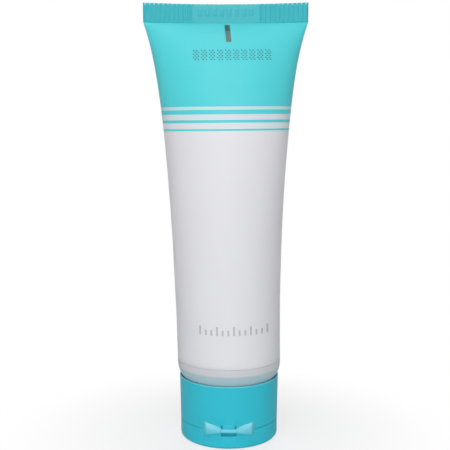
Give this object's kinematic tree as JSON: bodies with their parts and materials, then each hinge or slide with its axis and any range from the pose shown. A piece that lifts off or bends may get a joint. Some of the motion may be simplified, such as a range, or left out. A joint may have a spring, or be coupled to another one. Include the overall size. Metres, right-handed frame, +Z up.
{
  "type": "body lotion tube",
  "caption": "Plastic squeeze tube of body lotion with a crimped end, standing upside down on a flip-top cap with a snap hinge.",
  "frame": {"origin": "middle of the lid's flat outer face, which the tube stands on", "axes": "+Z up along the tube towards the crimped end, -Y towards the hinge and the back of the tube, +X along the width of the crimp"},
  "size_m": [0.0386, 0.025, 0.1039],
  "materials": {
    "sleeve_film": "satin white polyethylene film, printed teal at the crimped end",
    "head_plastic": "smooth pale polyethylene",
    "cap_plastic": "smooth satin teal polypropylene",
    "lotion": "thick off-white cream"
  },
  "bodies": {
    "tube": {"tube_sleeve": "sleeve_film", "tube_head": "head_plastic", "lotion": "lotion", "cap_base": "cap_plastic"},
    "lid": {"flip_lid": "cap_plastic"},
    "wing_left": {"hinge_wing_left": "cap_plastic"},
    "wing_right": {"hinge_wing_right": "cap_plastic"}
  },
  "joints": [
    {"name": "lid_hinge", "type": "hinge", "parent": "tube", "child": "lid", "pos_m": [0, -0.01188, 0.0046], "axis": [-1, 0, 0], "range_deg": [0, 140]},
    {"name": "wing_fold_right", "type": "hinge", "parent": "tube", "child": "wing_right", "pos_m": [0.00087, -0.01188, 0.0046], "axis": [-0.9129, -0.2341, -0.3343], "range_deg": [0, 75]},
    {"name": "wing_fold_left", "type": "hinge", "parent": "tube", "child": "wing_left", "pos_m": [-0.00087, -0.01188, 0.0046], "axis": [-0.9129, 0.2341, 0.3343], "range_deg": [0, 75]}
  ],
  "couplings": [
    {"joint": "wing_fold_right", "follows": "lid_hinge", "ratio": 0.53554},
    {"joint": "wing_fold_left", "follows": "lid_hinge", "ratio": 0.53554}
  ]
}
